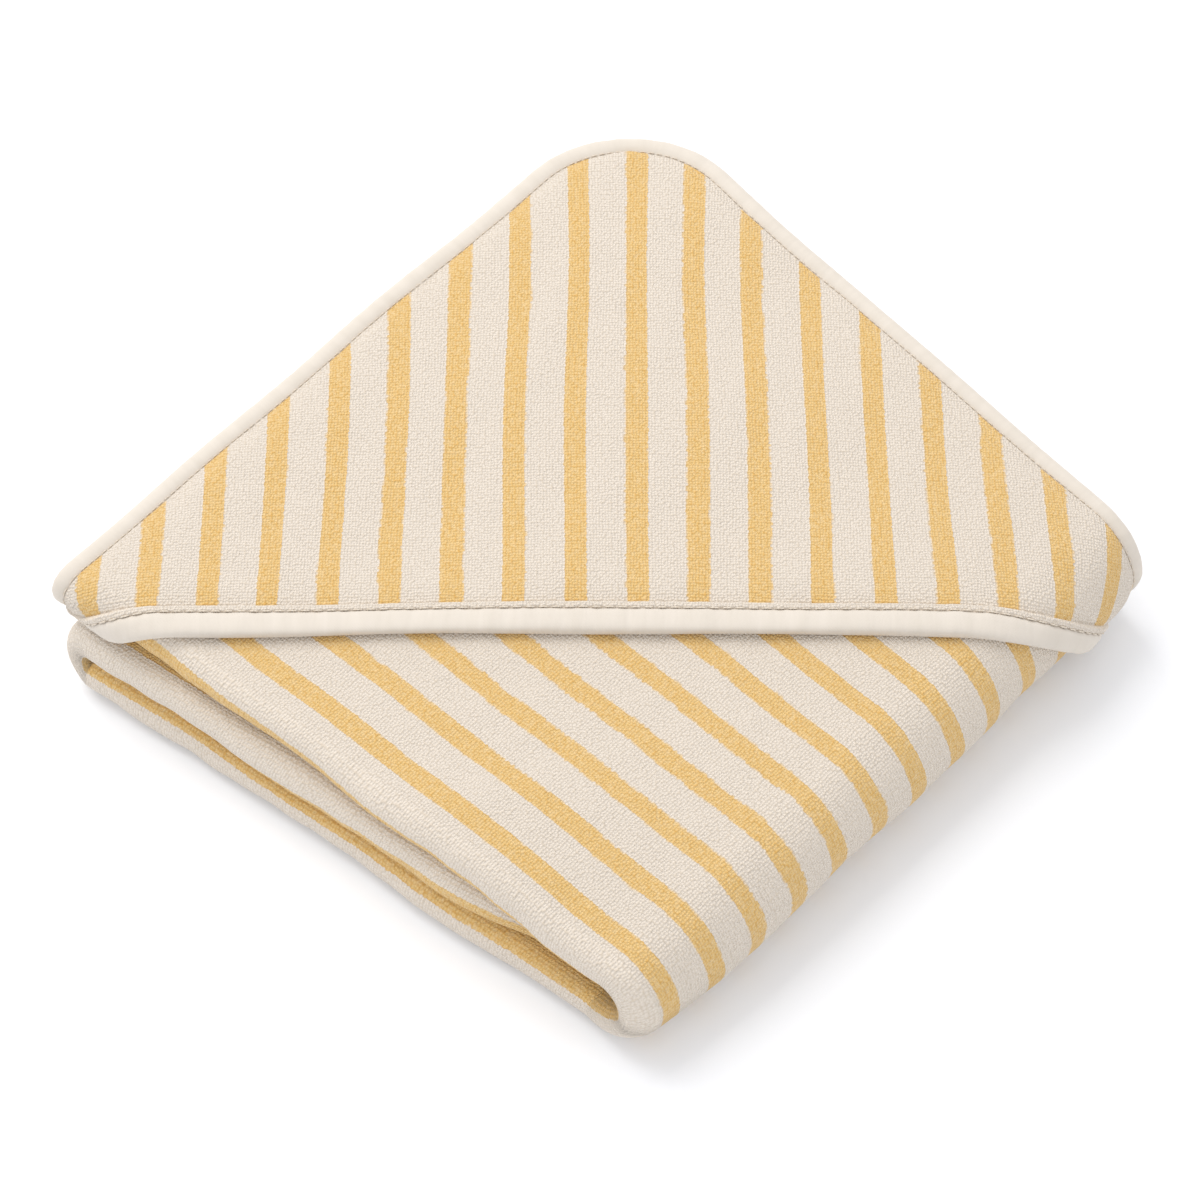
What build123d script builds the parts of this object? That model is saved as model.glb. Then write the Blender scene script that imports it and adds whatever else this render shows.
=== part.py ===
from build123d import *
import os
from math import radians, sin, sqrt

# Hooded baby towel, folded in thirds both ways into a square packet, hood corner on top.
# +Z is up, and the origin is at the centre of the packet's footprint, on the surface it lies on.
# The terry sheet is first folded in thirds into a strip (an outer, a tucked and an inner layer),
# then the strip is coiled: top run, spine at +X, bottom run, left turn at -X, middle run.

# Cloth, all sizes in millimetres
LAYER = 4.3              # one layer of terry as it lies, pile included
GAP = 0.3                # air between layers
HOOD_LAYER = 3.9         # hood panel, pressed by its own weight only
TAPE = 7.5               # visible width of the edge binding
RIM_TAPE = 8.5           # visible width of the hood's rim binding
RIM_RIDGE = 2.0          # stitched ridge behind the rim binding
TAPE_RIDE = 0.6          # how far the rim binding stands over the hood panel
SEAM = 0.6               # thread of the seams

# Packet
HALF_X = 117.5           # left edge and hood tip on the right, from the origin
HALF_Y = 130.0           # back edge and front left corner, from the origin
FRONT_SLOPE = 0.16       # slant of the bottom and middle runs' front fold, off the X axis
TOP_SLOPE = 0.12         # slant of the top run's front fold, which steps back to the left
CORNER_R = 44.0          # rounded corner of the towel and its hood
HOOD_RIM = 25.0          # the hood's rim lies on the line y = x - HOOD_RIM
HOOD_CLEAR = 1.3         # room round the hood panel for its opening motion
HOOD_REST = 0.4          # air between the hood and the cloth under it
TIP_WRAP = 60.0          # degrees that the hood's right tip goes round the spine
TIP_LENGTH = 26.0        # the same tip, along the back edge

# The folded strip's section and the heights of its three runs
STRIP = 3 * LAYER + 2 * GAP
FRONT_R = STRIP / 2
BACK_R = LAYER + GAP / 2
TUCKED_LOW = LAYER + GAP
OUTER_LOW = 2 * (LAYER + GAP)
BOTTOM_TOP = STRIP
MIDDLE_BASE = STRIP + GAP
TOP_BASE = 2 * (STRIP + GAP)
TOP_FACE = TOP_BASE + STRIP
HOOD_BASE = TOP_FACE + HOOD_REST
HOOD_TOP = HOOD_BASE + HOOD_LAYER
RIM_SEAM_RISE = 0.4
HEIGHT = HOOD_TOP + TAPE_RIDE + RIM_SEAM_RISE

# Bends of the strip
SPINE_Z = TOP_FACE / 2
SPINE_R = TOP_FACE / 2
TIP_R = SPINE_R + HOOD_REST
SPINE_X = HALF_X - GAP - (TIP_R + HOOD_LAYER) * sin(radians(TIP_WRAP))
LEFT_Z = STRIP + GAP / 2
LEFT_INSET = 3.5         # the left turn lies this much inside the top run's left edge
LEFT_X = -HALF_X + LEFT_INSET + LEFT_Z
HINGE_Z = HEIGHT / 2     # the top run turns about this height when the packet is opened
HINGE_CUT = 0.2          # half the cut between the two halves of the spine

# Edges in plan
TAPE_Y = HALF_Y - TAPE
OUTER_END_Y = TAPE_Y - GAP
BACK_INSET = 4.5         # the back roll lies this much inside the back edge
BACK_ROLL_Y = HALF_Y - BACK_INSET - BACK_R
TOP_LEFT_X = -HALF_X + TAPE + GAP
MIDDLE_END_X = SPINE_X - 1.0
HOOD_LEFT = -HALF_X + TAPE + HOOD_CLEAR
HOOD_BACK = TAPE_Y - HOOD_CLEAR
LEFT_TIP_R = FRONT_R + HOOD_REST + HOOD_LAYER
FRONT_AT_SPINE = -HALF_Y + FRONT_R + FRONT_SLOPE * (SPINE_X - LEFT_X)


def front_y(x, slope=FRONT_SLOPE):
    """Y of the front roll's centre line at x."""
    return FRONT_AT_SPINE + slope * (x - SPINE_X)


def extrude_along_front(sketch, x_low, x_high, slope=FRONT_SLOPE):
    """Extrude a section from x_low to x_high, parallel to the front roll's centre line."""
    run = Vector(x_high - x_low, slope * (x_high - x_low), 0)
    extrude(sketch, amount=run.length, dir=run)


def section_plane(x, base):
    """Plane across the strip at x, with local X along +Y and local Y upwards from the base."""
    return Plane(origin=(x, 0, base), x_dir=(0, 1, 0), z_dir=(1, 0, 0))


def half_ring(y, t, outer, inner, forward):
    """Half ring in the current sketch, bulging towards -Y when forward, else towards +Y."""
    with BuildSketch(mode=Mode.PRIVATE) as ring:
        with Locations((y, t)):
            Circle(outer)
            Circle(inner, mode=Mode.SUBTRACT)
        with Locations((y + outer if forward else y - outer, t)):
            Rectangle(2 * outer, 4 * outer, mode=Mode.SUBTRACT)
    add(ring.sketch)


def band(y_low, y_high, t_low, thickness=LAYER):
    """Rectangle in the current sketch, across one layer of the strip."""
    with Locations(((y_low + y_high) / 2, t_low + thickness / 2)):
        Rectangle(y_high - y_low, thickness)


def strip_section(y_front, with_outer=True, outer_end=OUTER_END_Y):
    """The terry's folded section: outer layer, front roll, inner layer, back roll, tucked layer."""
    if with_outer:
        band(y_front, outer_end, OUTER_LOW)
    band(y_front, BACK_ROLL_Y, 0)
    band(y_front + TAPE + GAP, BACK_ROLL_Y, TUCKED_LOW)
    half_ring(y_front, FRONT_R, FRONT_R, FRONT_R - LAYER, forward=True)
    half_ring(BACK_ROLL_Y, BACK_R, BACK_R, GAP / 2, forward=False)


def slab(x_low, x_high, slope, y_offset, y_back, base, round_corner=False):
    """Flat layer between two X, from the slanted front line plus y_offset to y_back."""
    with BuildSketch(Plane.XY.offset(base)) as outline:
        with BuildLine():
            Polyline(
                (x_low, front_y(x_low, slope) + y_offset),
                (x_high, front_y(x_high, slope) + y_offset),
                (x_high, y_back),
                (x_low, y_back),
                close=True,
            )
        make_face()
        if round_corner:
            corner = outline.vertices().group_by(Axis.Y)[-1].sort_by(Axis.X)[0]
            fillet(corner, CORNER_R - TAPE - GAP)
    extrude(outline.sketch, amount=LAYER)


def rolls(x_low, x_high, slope, base, flip):
    """The front and back rolls of one straight run of the strip."""
    centre = base - FRONT_R if flip else base + FRONT_R
    back = base - BACK_R if flip else base + BACK_R
    with BuildSketch(section_plane(x_low, 0)) as front:
        half_ring(front_y(x_low, slope), centre, FRONT_R, FRONT_R - LAYER, forward=True)
    extrude_along_front(front.sketch, x_low, x_high, slope)
    with BuildSketch(section_plane(x_low, 0)) as rear:
        half_ring(BACK_ROLL_Y, back, BACK_R, GAP / 2, forward=False)
    extrude(rear.sketch, amount=x_high - x_low, dir=(1, 0, 0))


def finish(part, name):
    part.label = name
    export_step(part, f"parts/{name}.step")


# Straight runs of the terry sheet: name, ends in X, front slant, inner face, outer layer below
runs = [
    ("bottom_terry", LEFT_X, SPINE_X, FRONT_SLOPE, BOTTOM_TOP, True),
    ("middle_terry", LEFT_X, MIDDLE_END_X - TAPE - GAP, FRONT_SLOPE, MIDDLE_BASE, False),
    ("top_terry", TOP_LEFT_X, SPINE_X, TOP_SLOPE, TOP_BASE, False),
]
for name, x_low, x_high, slope, base, flip in runs:
    levels = [base - OUTER_LOW - LAYER, base - TUCKED_LOW - LAYER, base - LAYER]
    if not flip:
        levels = [base + OUTER_LOW, base + TUCKED_LOW, base]
    with BuildPart() as run_terry:
        slab(x_low, x_high, slope, 0, OUTER_END_Y, levels[0], round_corner=(name == "top_terry"))
        slab(x_low, x_high, slope, TAPE + GAP, BACK_ROLL_Y, levels[1])
        slab(x_low, x_high, slope, 0, BACK_ROLL_Y, levels[2])
        rolls(x_low, x_high, slope, base, flip)
    finish(run_terry.part, name)

# Bends of the terry sheet: the spine is cut at hinge height into its two halves
spine_axis = Axis((SPINE_X, 0, SPINE_Z), (0, 1, 0))
left_axis = Axis((LEFT_X, 0, LEFT_Z), (0, 1, 0))
for name, cut, side in [
    ("spine_terry_lower", HINGE_Z - HINGE_CUT, Keep.BOTTOM),
    ("spine_terry_upper", HINGE_Z + HINGE_CUT, Keep.TOP),
]:
    with BuildPart() as spine_terry:
        with BuildSketch(section_plane(SPINE_X, TOP_BASE)):
            strip_section(front_y(SPINE_X))
        revolve(axis=spine_axis, revolution_arc=180)
        split(bisect_by=Plane.XY.offset(cut), keep=side)
    finish(spine_terry.part, name)

with BuildPart() as left_turn_terry:
    with BuildSketch(section_plane(LEFT_X, MIDDLE_BASE)):
        strip_section(front_y(LEFT_X))
    revolve(axis=left_axis, revolution_arc=-180)
finish(left_turn_terry.part, "left_turn_terry")

# Edge binding along the towel's back edge and along its far edge, which is tucked in the strip
for name, x_low, x_high, slope, base, flip in runs[:2]:
    outer_low = base - STRIP if flip else base + OUTER_LOW
    tucked_low = base - TUCKED_LOW - LAYER if flip else base + TUCKED_LOW
    with BuildPart() as back_tape:
        with BuildSketch(Plane.XY.offset(outer_low)):
            with Locations(((x_low + x_high) / 2, TAPE_Y + TAPE / 2)):
                Rectangle(x_high - x_low, TAPE)
        extrude(amount=LAYER)
    finish(back_tape.part, name.replace("terry", "back_binding"))
    with BuildPart() as hem_tape:
        with BuildSketch(section_plane(x_low, tucked_low)) as hem:
            band(front_y(x_low), front_y(x_low) + TAPE, 0)
        extrude_along_front(hem.sketch, x_low, x_high)
    finish(hem_tape.part, name.replace("terry", "hem_binding"))

with BuildPart() as top_hem_tape:
    with BuildSketch(section_plane(TOP_LEFT_X, TOP_BASE + TUCKED_LOW)) as top_hem:
        band(front_y(TOP_LEFT_X, TOP_SLOPE), front_y(TOP_LEFT_X, TOP_SLOPE) + TAPE, 0)
    extrude_along_front(top_hem.sketch, TOP_LEFT_X, SPINE_X, TOP_SLOPE)
finish(top_hem_tape.part, "top_hem_binding")

# The same binding round the bends
for name, cut, side in [
    ("spine_back_binding_lower", HINGE_Z - HINGE_CUT, Keep.BOTTOM),
    ("spine_back_binding_upper", HINGE_Z + HINGE_CUT, Keep.TOP),
]:
    with BuildPart() as spine_tape:
        with BuildSketch(section_plane(SPINE_X, TOP_BASE)):
            band(TAPE_Y, HALF_Y, OUTER_LOW)
        revolve(axis=spine_axis, revolution_arc=180)
        split(bisect_by=Plane.XY.offset(cut), keep=side)
    finish(spine_tape.part, name)

with BuildPart() as left_turn_tape:
    with BuildSketch(section_plane(LEFT_X, MIDDLE_BASE)):
        band(TAPE_Y, HALF_Y, OUTER_LOW)
    revolve(axis=left_axis, revolution_arc=-180)
finish(left_turn_tape.part, "left_turn_back_binding")

# The towel's far side edge, inside the spine: its binding follows the strip's folded section
with BuildPart() as middle_end_tape:
    with BuildSketch(section_plane(MIDDLE_END_X - TAPE, MIDDLE_BASE)):
        strip_section(front_y(MIDDLE_END_X - TAPE), outer_end=HALF_Y)
    extrude(amount=TAPE)
finish(middle_end_tape.part, "middle_end_binding")

# Binding of the top run's left side: the folded layers, then the outer layer with the hood corner
with BuildPart() as top_left_tape:
    with BuildSketch(section_plane(-HALF_X, TOP_BASE)):
        strip_section(front_y(-HALF_X + TAPE, TOP_SLOPE), with_outer=False)
    extrude(amount=TAPE)
finish(top_left_tape.part, "top_left_binding")

with BuildPart() as top_edge_tape:
    with BuildSketch(Plane.XY.offset(TOP_BASE + OUTER_LOW)) as edge_outline:
        with BuildLine():
            Polyline(
                (-HALF_X, front_y(-HALF_X + TAPE, TOP_SLOPE)),
                (-HALF_X + TAPE, front_y(-HALF_X + TAPE, TOP_SLOPE)),
                (-HALF_X + TAPE, TAPE_Y),
                (SPINE_X, TAPE_Y),
                (SPINE_X, HALF_Y),
                (-HALF_X, HALF_Y),
                close=True,
            )
        make_face()
        tape_corner = edge_outline.vertices().group_by(Axis.Y)[-1].sort_by(Axis.X)[0]
        fillet(tape_corner, CORNER_R)
        inner_corner = edge_outline.vertices().sort_by_distance((-HALF_X + TAPE, TAPE_Y))[0]
        fillet(inner_corner, CORNER_R - TAPE)
    extrude(amount=LAYER)
finish(top_edge_tape.part, "top_edge_binding")

# Thread along the inner side of the edge binding, level with the underside of the hood
with BuildPart() as edge_thread:
    with BuildSketch(Plane.XY.offset(TOP_FACE)) as thread_outline:
        with BuildLine():
            Polyline(
                (-HALF_X + TAPE - SEAM, front_y(-HALF_X, TOP_SLOPE) + TAPE),
                (-HALF_X + TAPE, front_y(-HALF_X, TOP_SLOPE) + TAPE),
                (-HALF_X + TAPE, TAPE_Y),
                (SPINE_X, TAPE_Y),
                (SPINE_X, TAPE_Y + SEAM),
                (-HALF_X + TAPE - SEAM, TAPE_Y + SEAM),
                close=True,
            )
        make_face()
        outer_bend = thread_outline.vertices().group_by(Axis.Y)[-1].sort_by(Axis.X)[0]
        fillet(outer_bend, CORNER_R - TAPE + SEAM)
        inner_bend = thread_outline.vertices().sort_by_distance((-HALF_X + TAPE, TAPE_Y))[0]
        fillet(inner_bend, CORNER_R - TAPE)
    extrude(amount=HOOD_REST)
finish(edge_thread.part, "edge_seam")

# Hood: a rounded triangle over the top run, open along its rim
def rim_front_x(ahead):
    """X where a line parallel to the rim, ahead of it along -Y, meets the front roll's centre."""
    return (front_y(0, TOP_SLOPE) + HOOD_RIM + ahead) / (1 - TOP_SLOPE)


def rim_front_point(ahead):
    return (rim_front_x(ahead), front_y(rim_front_x(ahead), TOP_SLOPE))


with BuildPart() as hood_panel:
    with BuildSketch(Plane.XY.offset(HOOD_BASE)) as hood_outline:
        with BuildLine():
            Polyline(
                (HOOD_LEFT, front_y(HOOD_LEFT, TOP_SLOPE)),
                rim_front_point(0),
                (SPINE_X, SPINE_X - HOOD_RIM),
                (SPINE_X, HOOD_BACK),
                (HOOD_LEFT, HOOD_BACK),
                close=True,
            )
        make_face()
        hood_corner = hood_outline.vertices().group_by(Axis.Y)[-1].sort_by(Axis.X)[0]
        fillet(hood_corner, CORNER_R - TAPE)
    extrude(amount=HOOD_LAYER)
finish(hood_panel.part, "hood_panel")


def rim_strip(start, width, base, thickness):
    """Bar along the hood's rim: start is its distance in front of the panel's cut edge."""
    low = start * sqrt(2)
    high = (start + width) * sqrt(2)
    with BuildSketch(Plane.XY.offset(base)) as bar:
        with BuildLine():
            Polyline(
                rim_front_point(low),
                rim_front_point(high),
                (SPINE_X, SPINE_X - HOOD_RIM - high),
                (SPINE_X, SPINE_X - HOOD_RIM - low),
                close=True,
            )
        make_face()
    extrude(bar.sketch, amount=thickness)


with BuildPart() as rim_tape:
    rim_strip(GAP, RIM_RIDGE + RIM_TAPE - GAP, HOOD_BASE, HOOD_LAYER + TAPE_RIDE)
finish(rim_tape.part, "hood_rim_binding")

with BuildPart() as rim_thread:
    rim_strip(RIM_RIDGE - SEAM, SEAM, HOOD_TOP + TAPE_RIDE, RIM_SEAM_RISE)
finish(rim_thread.part, "hood_rim_seam")

# Tips of the hood, which stay sewn where they wrap round the spine and over the front roll
tip_plane = Plane(origin=(SPINE_X + GAP, 0, SPINE_Z), x_dir=(0, 1, 0), z_dir=(1, 0, 0))
with BuildPart() as right_tip:
    with BuildSketch(tip_plane):
        band(HOOD_BACK - TIP_LENGTH, HOOD_BACK, TIP_R, HOOD_LAYER)
    revolve(axis=Axis((SPINE_X + GAP, 0, SPINE_Z), (0, 1, 0)), revolution_arc=TIP_WRAP)
finish(right_tip.part, "hood_right_tip")

rim_end_x = rim_front_x((RIM_RIDGE + RIM_TAPE) * sqrt(2))
with BuildPart() as left_tip:
    with BuildSketch(section_plane(HOOD_LEFT, TOP_BASE + FRONT_R)) as left_tip_section:
        left_tip_y = front_y(HOOD_LEFT, TOP_SLOPE) - GAP
        half_ring(left_tip_y, 0, LEFT_TIP_R, LEFT_TIP_R - HOOD_LAYER, forward=True)
    extrude_along_front(left_tip_section.sketch, HOOD_LEFT, rim_end_x, TOP_SLOPE)
    split(bisect_by=Plane.XY.offset(TOP_BASE + FRONT_R), keep=Keep.TOP)
finish(left_tip.part, "hood_left_tip")
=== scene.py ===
from math import cos, pi, radians, sin, sqrt

import bpy
import numpy as np
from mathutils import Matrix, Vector


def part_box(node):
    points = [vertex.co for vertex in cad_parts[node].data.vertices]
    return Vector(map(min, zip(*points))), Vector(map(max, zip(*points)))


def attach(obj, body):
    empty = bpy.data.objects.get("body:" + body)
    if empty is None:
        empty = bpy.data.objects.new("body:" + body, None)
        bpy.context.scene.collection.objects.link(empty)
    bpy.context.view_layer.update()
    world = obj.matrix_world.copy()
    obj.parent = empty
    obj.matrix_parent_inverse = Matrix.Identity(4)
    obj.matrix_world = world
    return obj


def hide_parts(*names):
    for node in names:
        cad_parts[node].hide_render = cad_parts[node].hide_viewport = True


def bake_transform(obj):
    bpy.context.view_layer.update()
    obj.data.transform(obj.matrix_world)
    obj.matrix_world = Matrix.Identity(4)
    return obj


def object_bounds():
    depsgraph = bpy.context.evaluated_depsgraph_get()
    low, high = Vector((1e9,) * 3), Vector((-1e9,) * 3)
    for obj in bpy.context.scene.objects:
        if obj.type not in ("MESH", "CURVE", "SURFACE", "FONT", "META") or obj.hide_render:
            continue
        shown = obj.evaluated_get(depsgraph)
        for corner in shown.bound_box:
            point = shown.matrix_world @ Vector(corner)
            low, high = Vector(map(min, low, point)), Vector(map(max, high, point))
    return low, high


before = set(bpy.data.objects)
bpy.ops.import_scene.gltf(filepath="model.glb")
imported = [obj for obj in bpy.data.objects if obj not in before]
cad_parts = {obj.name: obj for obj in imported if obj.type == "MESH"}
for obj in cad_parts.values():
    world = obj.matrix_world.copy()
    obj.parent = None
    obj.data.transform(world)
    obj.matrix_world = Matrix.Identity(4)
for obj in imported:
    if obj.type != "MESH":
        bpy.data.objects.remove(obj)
CAD_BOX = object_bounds()

bl_info = {
    "name": "Hooded Baby Towel",
    "version": (1, 0, 0),
    "blender": (4, 5, 0),
    "location": "3D Viewport > Sidebar > Towel",
    "description": "Builds a folded, striped terry baby towel with a bound hood around its frame",
    "category": "Object",
}

# Everything below is worked out in millimetres and turned to metres when a mesh is made.
MM = 1000.0


def node_box(name):
    """Lowest and highest corner of a frame node, in millimetres."""
    low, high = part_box(name)
    return [MM * c for c in low], [MM * c for c in high]


def linear(hex_colour):
    """Linear RGBA of an sRGB hex colour."""
    channels = [int(hex_colour[i : i + 2], 16) / 255 for i in (1, 3, 5)]
    return [c / 12.92 if c <= 0.04045 else ((c + 0.055) / 1.055) ** 2.4 for c in channels] + [1.0]


# Sizes taken from the frame: the cloth, the folded strip's section, and the coil of the strip
top_low, top_high = node_box("top_terry")
edge_low, edge_high = node_box("top_edge_binding")
bottom_low, bottom_high = node_box("bottom_terry")
_, turn_high = node_box("left_turn_terry")
spine_low, _ = node_box("spine_terry_lower")
hood_low, hood_high = node_box("hood_panel")
back_tape_low, back_tape_high = node_box("bottom_back_binding")
_, end_tape_high = node_box("middle_end_binding")

HALF_X = edge_high[0] - edge_low[0] - top_high[0]
HALF_Y = edge_high[1]
LAYER = edge_high[2] - edge_low[2]
TAPE = back_tape_high[1] - back_tape_low[1]
STRIP = top_high[2] - top_low[2]
GAP = (STRIP - 3 * LAYER) / 2
FRONT_R = STRIP / 2
BACK_R = LAYER + GAP / 2
BACK_Y = bottom_high[1] - BACK_R
TOP_BASE = top_low[2]
TOP_FACE = top_high[2]
SPINE_X = top_high[0]    # the spine bends from here
SPINE_R = TOP_FACE / 2
SPINE_Z = TOP_FACE / 2
LEFT_X = bottom_low[0]
LEFT_Z = turn_high[2] / 2
MIDDLE_BASE = turn_high[2] - STRIP
MIDDLE_END_X = end_tape_high[0]
HOOD_LAYER = hood_high[2] - hood_low[2]
HOOD_REST = hood_low[2] - TOP_FACE
HEIGHT = MM * CAD_BOX[1][2]

# Front fold: where the roll's centre line runs in each run of the strip
FRONT_AT_SPINE = spine_low[1] + FRONT_R
FRONT_SLOPE = (FRONT_AT_SPINE - bottom_low[1] - FRONT_R) / (SPINE_X - LEFT_X)
TOP_SLOPE = (FRONT_AT_SPINE - top_low[1] - FRONT_R) / (SPINE_X - top_low[0])
TOP_STEP = 2.8           # the top run's front roll steps back from the bottom run's by this
MIDDLE_STEP = 2.0        # the same for the middle run's
MIDDLE_RECEDE = 9.0      # the middle run's end lies this much further back, inside the spine
FRONT_SQUEEZE = 7.0      # the mouth between the rolls closes by this at the spine
FRONT_SPREAD = 3.5       # and the layers over it come down by this much less

# Softness of the packet: how far its sides give way, and the height of its slow waves
BACK_LEAN = 1.5          # the back edge leans in by this at x = -60
BACK_LEAN_GROWS = 0.04   # and by this much more for each millimetre to the right
LEFT_LEAN = 4.0          # the left edge leans in by this at the front
SPINE_DRAW_FRONT = 4.5   # the lower layers draw in by this at the front of the spine
SPINE_DRAW_BACK = 7.0    # and by this at its back
TURN_DRAW_FRONT = 4.0    # the left turn draws in by this at the front
WAVE_UP = 0.7            # the top's waves stand this high
WAVE_DEEP = 0.8          # the front and back edges wander by this
WAVE_ALONG = 0.7         # the left and right edges wander by this

# Hood outline, in the flat: p runs from its corner to its rim, q along the rim
CORNER_R = 44.0          # rounded corner of towel and hood
HOOD_RIM = 25.0          # the rim lies on y = x - HOOD_RIM
RIM_RIDGE = 2.3          # stitched ridge behind the rim binding
RIM_TAPE = 7.9           # rim binding in front of the ridge
TUCK = 0.8               # cloth that is hidden under the edge binding
SEAM_IN = 1.4            # the edge seam lies this far from the binding's inner side
COVER_THICKER = 0.75     # share by which the edge binding is thicker where it covers the hood
COVER_RISE = 0.42        # share of the hood's height by which its middle is higher there
SEAM_GROOVE = 0.35       # depth of the groove that the edge seam pulls into the binding
SEAM_SINK = 0.3          # the edge seam's thread lies this far below the binding's rounded face

# Radii at which cloth keeps its length, and the places along the strip where its bends start
ROLL_MID = FRONT_R - LAYER / 2
BACK_MID = BACK_R - LAYER / 2
SPINE_MID = SPINE_R - LAYER / 2
LEFT_MID = LEFT_Z - LAYER / 2
SPINE_END = SPINE_X + pi * SPINE_MID
BOTTOM_END = SPINE_END + SPINE_X - LEFT_X
LEFT_END = BOTTOM_END + pi * LEFT_MID
STRIP_END = LEFT_END + MIDDLE_END_X - TAPE - LEFT_X
HOOD_LIFT = LAYER / 2 + HOOD_REST + HOOD_LAYER / 2


def smooth(x):
    """0 below 0, 1 above 1, and a smooth step between."""
    x = np.clip(x, 0, 1)
    return x * x * (3 - 2 * x)


def waves(x, y, lengths, seed):
    """Smooth irregular relief between about -1 and 1, as a few sine waves of the given lengths."""
    random = np.random.default_rng(seed)
    total = 0
    for length in lengths:
        for _ in range(3):
            turn, phase = random.uniform(0, 2 * pi, 2)
            total = total + np.sin(2 * pi * (x * cos(turn) + y * sin(turn)) / length + phase)
    return total / sqrt(4.5 * len(lengths))


# Shape of the folded packet: from the flat cloth to its place

def front_line(a):
    """Y of the front roll's centre line at strip length a."""
    x = np.select(
        [a < SPINE_X, a < SPINE_END, a < BOTTOM_END, a < LEFT_END],
        [a, SPINE_X, SPINE_X - (a - SPINE_END), LEFT_X],
        LEFT_X + (a - LEFT_END),
    )
    slope = np.where(a < SPINE_X, TOP_SLOPE, FRONT_SLOPE)
    down_spine = smooth((a - SPINE_X) / (SPINE_END - SPINE_X))
    up_left = smooth((a - BOTTOM_END) / (LEFT_END - BOTTOM_END))
    step = TOP_STEP * (1 - down_spine) + MIDDLE_STEP * up_left
    recede = MIDDLE_RECEDE * smooth(1 - (STRIP_END + TAPE - a) / 60) * up_left
    return FRONT_AT_SPINE + slope * (x - SPINE_X) + step + recede


def section_marks(front):
    """Cloth distances from the back edge at which the front roll and the back roll start and end."""
    roll_start = HALF_Y - front
    roll_end = roll_start + pi * ROLL_MID
    back_start = roll_end + BACK_Y - front
    back_end = back_start + pi * BACK_MID
    hem = back_end + BACK_Y - front - TAPE - GAP
    return roll_start, roll_end, back_start, back_end, hem


def fold_section(front, b, h, lift):
    """Y and height in the strip of cloth at distance b from the back edge, and h off its middle."""
    roll_start, roll_end, back_start, back_end, _ = section_marks(front)
    alpha = (b - roll_start) / (ROLL_MID + lift)
    if lift == 0:
        beta = (b - back_start) / BACK_MID
        parts = [b < roll_start, b < roll_end, b < back_start, b < back_end]
    else:
        beta = 0 * b
        parts = [b < roll_start, b >= roll_start, b < 0, b < 0]
    reach = ROLL_MID + lift + h
    back_reach = BACK_MID + h
    y = np.select(
        parts,
        [
            HALF_Y - b,
            front - reach * np.sin(alpha),
            front + (b - roll_end),
            BACK_Y + back_reach * np.sin(beta),
        ],
        BACK_Y - (b - back_end),
    )
    t = np.select(
        parts,
        [
            STRIP - LAYER / 2 + lift + h,
            FRONT_R + reach * np.cos(alpha),
            LAYER / 2 - h,
            BACK_R - back_reach * np.cos(beta),
        ],
        2 * BACK_R - LAYER / 2 + h,
    )
    return y, t


def coil_strip(a, t, lift):
    """X and Z of the strip at length a and height t in the strip."""
    spine_end = SPINE_X + pi * (SPINE_MID + lift)
    theta = (a - SPINE_X) / (SPINE_MID + lift)
    phi = (a - BOTTOM_END) / LEFT_MID
    spine_reach = SPINE_R - STRIP + t
    left_reach = LEFT_Z - STRIP + t
    parts = [a < SPINE_X, a < spine_end, a < BOTTOM_END, a < LEFT_END]
    x = np.select(
        parts,
        [
            a,
            SPINE_X + spine_reach * np.sin(theta),
            SPINE_X - (a - SPINE_END),
            LEFT_X - left_reach * np.sin(phi),
        ],
        LEFT_X + (a - LEFT_END),
    )
    z = np.select(
        parts,
        [
            TOP_BASE + t,
            SPINE_Z + spine_reach * np.cos(theta),
            STRIP - t,
            LEFT_Z - left_reach * np.cos(phi),
        ],
        MIDDLE_BASE + t,
    )
    return x, z


def settle(x, y, z, under):
    """The same soft irregularity for every piece, so that neighbours stay neighbours."""
    height = z / HEIGHT
    # Layers under the rounded corner of the towel are pulled in to stay under it
    over_x = np.clip((CORNER_R - HALF_X - x) / CORNER_R, 0, 1)
    over_y = np.clip((y - HALF_Y + CORNER_R) / CORNER_R, 0, 1)
    longer = np.maximum(over_x, over_y)
    across = np.maximum(np.hypot(over_x, over_y), 1e-6)
    pinch = (1 - longer / across) * longer * under
    x = x + pinch * over_x * CORNER_R
    y = y - pinch * over_y * CORNER_R
    # The back edge leans in most at the right, and the left edge at the front
    back = np.clip(y / HALF_Y, 0, 1) ** 2
    left = np.clip(-x / HALF_X, 0, 1) ** 2
    y = y - back * (BACK_LEAN + BACK_LEAN_GROWS * (x + 60))
    x = x + left * LEFT_LEAN * (1 - smooth((y + 110) / 230))
    # The lower layers draw in at both ends of the spine, and at the front of the left turn
    low = np.clip(1 - height, 0, 1)
    right = smooth((x - 40) / 70)
    draw = SPINE_DRAW_FRONT * smooth((-60 - y) / 45) + SPINE_DRAW_BACK * smooth((y - 85) / 40)
    x = x - right * low * draw
    x = x + left * low * TURN_DRAW_FRONT * smooth((-60 - y) / 50)
    # Nothing fills the spine in front of the middle run's end, so the folds sag together there
    near_front = smooth((-50 - y) / 40) * smooth((x - 25) / 65)
    above = z - SPINE_Z
    sag = FRONT_SQUEEZE * smooth((above + 9) / 16) - FRONT_SPREAD * smooth((above - 7) / 13)
    z = z - near_front * sag
    # Slow waves, more at the top than at the bottom
    z = z + height * WAVE_UP * waves(x, y, (120, 70), 3) * smooth((z + 2) / 12)
    y = y + WAVE_DEEP * waves(x, 3 * z, (140, 60), 5)
    x = x + WAVE_ALONG * waves(y, 3 * z, (150, 70), 8)
    return x, y, z


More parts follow.
